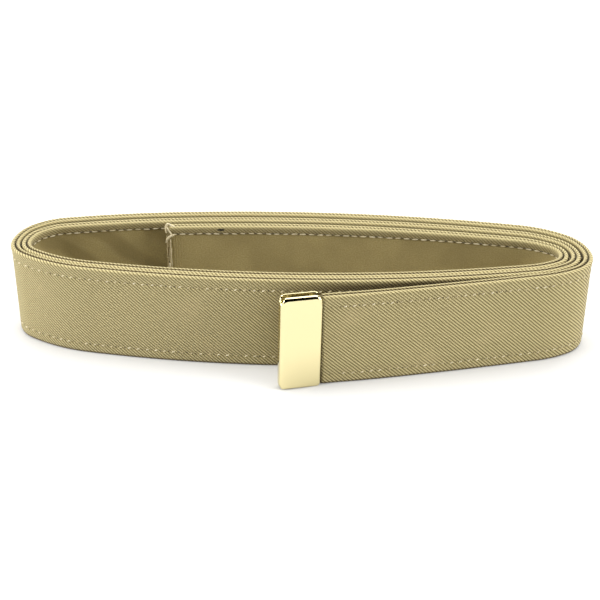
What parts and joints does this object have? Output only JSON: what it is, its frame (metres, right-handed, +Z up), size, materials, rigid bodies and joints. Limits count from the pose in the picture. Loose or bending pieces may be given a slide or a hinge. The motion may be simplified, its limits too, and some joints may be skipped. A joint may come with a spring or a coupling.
{
  "type": "uniform belt",
  "caption": "Cloth uniform belt rolled up on its edge in a flattened oval, with a folded metal tip on its free end.",
  "frame": {"origin": "middle of the belt's box, on the surface that it stands on", "axes": "+X along the coil's long axis, from the left end as seen from the front to the right end; -Y towards the front, where the tip is; +Z up, across the strap's width"},
  "size_m": [0.1972, 0.0692, 0.0334],
  "materials": {
    "twill": "khaki twill, dull, with raised diagonal wales",
    "backing_cloth": "smooth, dull, darker khaki",
    "polished_brass": "pale gold, mirror polished"
  },
  "bodies": {
    "root": {"face_ply": "twill", "top_edge_band": "twill", "bottom_edge_band": "twill", "backing": "backing_cloth", "belt_tip": "polished_brass"}
  },
  "joints": []
}
